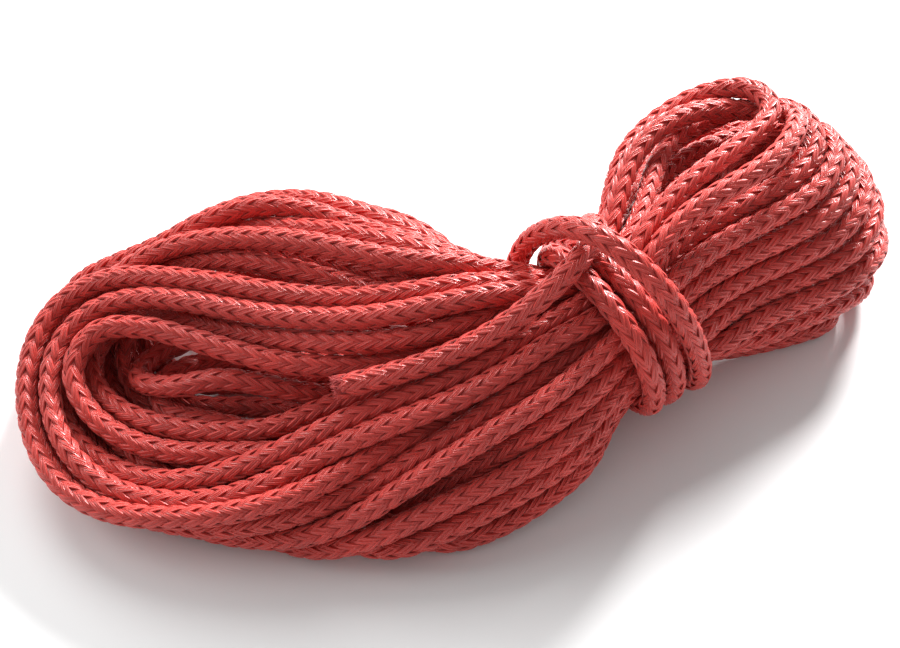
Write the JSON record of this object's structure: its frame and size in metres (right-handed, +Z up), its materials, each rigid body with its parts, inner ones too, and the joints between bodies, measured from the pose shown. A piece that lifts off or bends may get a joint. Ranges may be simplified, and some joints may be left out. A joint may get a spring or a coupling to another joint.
{
  "type": "coiled dock line",
  "caption": "Plain braided dock line folded into a long hank, tied round its waist with its own end, the cut end tucked back along it.",
  "frame": {"origin": "middle of the ground rectangle that the hank covers, on the ground", "axes": "+X along the hank from its large near bight to its small far bight, +Z up, +Y towards the back of the hank, away from the tucked tail's side"},
  "size_m": [0.309, 0.1491, 0.0821],
  "materials": {
    "rope": "hollow single braid of red polyolefin filament yarns, waxy sheen",
    "rope_cut_end": "cut yarn ends of the same braid, slightly frayed"
  },
  "bodies": {
    "root": {"hank_near_bight": "rope", "hank_waist": "rope", "hank_far_bight": "rope", "tie_turn_1": "rope", "tie_turn_2": "rope", "tie_loose_turn": "rope", "tucked_tail": "rope", "tail_cut_end": "rope_cut_end"}
  },
  "joints": []
}
